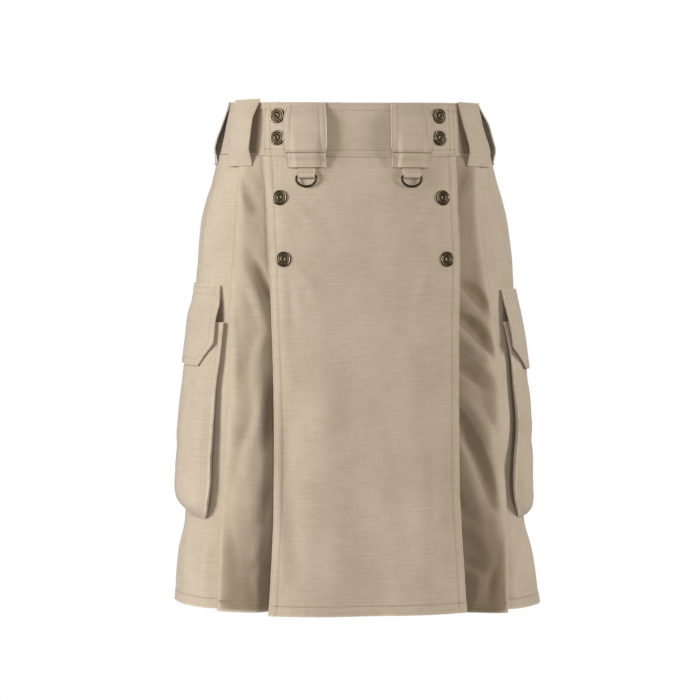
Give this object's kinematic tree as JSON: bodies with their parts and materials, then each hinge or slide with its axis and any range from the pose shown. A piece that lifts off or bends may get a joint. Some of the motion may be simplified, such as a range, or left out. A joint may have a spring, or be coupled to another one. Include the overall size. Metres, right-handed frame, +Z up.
{
  "type": "utility kilt",
  "caption": "Knee-length pleated khaki utility kilt with snapped front apron, cargo pockets, wide belt loops and hanging D-rings, in its hollow worn form.",
  "frame": {"origin": "centre of the wearer's waist, halfway up the waistband at the centre front", "axes": "+X to the right of the picture, which is the wearer's left, +Y towards the wearer's back, +Z up"},
  "size_m": [0.4317, 0.3194, 0.5945],
  "materials": {
    "khaki_cloth": "matt ripstop cotton canvas, khaki tan",
    "antique_brass": "dark antique brass, satin, worn bright at the rims"
  },
  "bodies": {
    "kilt": {"waistband": "khaki_cloth", "waistband_front": "khaki_cloth", "apron": "khaki_cloth", "back_panel": "khaki_cloth", "back_loop": "khaki_cloth", "side_loop_left": "khaki_cloth", "side_loop_right": "khaki_cloth", "hip_loop_left": "khaki_cloth", "hip_loop_right": "khaki_cloth", "front_loop_left": "khaki_cloth", "front_loop_right": "khaki_cloth", "front_pleat_left": "khaki_cloth", "front_pleat_right": "khaki_cloth", "side_panel_left": "khaki_cloth", "side_panel_right": "khaki_cloth", "ring_tab_left": "khaki_cloth", "ring_tab_right": "khaki_cloth", "pocket_left": "khaki_cloth", "pocket_right": "khaki_cloth", "pocket_flap_left": "khaki_cloth", "pocket_flap_right": "khaki_cloth", "snap_waist_upper_left": "antique_brass", "snap_waist_upper_right": "antique_brass", "snap_waist_lower_left": "antique_brass", "snap_waist_lower_right": "antique_brass", "snap_apron_upper_left": "antique_brass", "snap_apron_upper_right": "antique_brass", "snap_apron_lower_left": "antique_brass", "snap_apron_lower_right": "antique_brass"},
    "d_ring_left": {"d_ring_left": "antique_brass"},
    "d_ring_right": {"d_ring_right": "antique_brass"}
  },
  "joints": [
    {"name": "d_ring_left_swing", "type": "hinge", "parent": "kilt", "child": "d_ring_left", "pos_m": [-0.06535, -0.11818, -0.0526], "axis": [-0.9716, 0.2366, 0], "range_deg": [0, 120]},
    {"name": "d_ring_right_swing", "type": "hinge", "parent": "kilt", "child": "d_ring_right", "pos_m": [0.05494, -0.12045, -0.0526], "axis": [-0.9818, -0.1899, 0], "range_deg": [0, 120]}
  ]
}
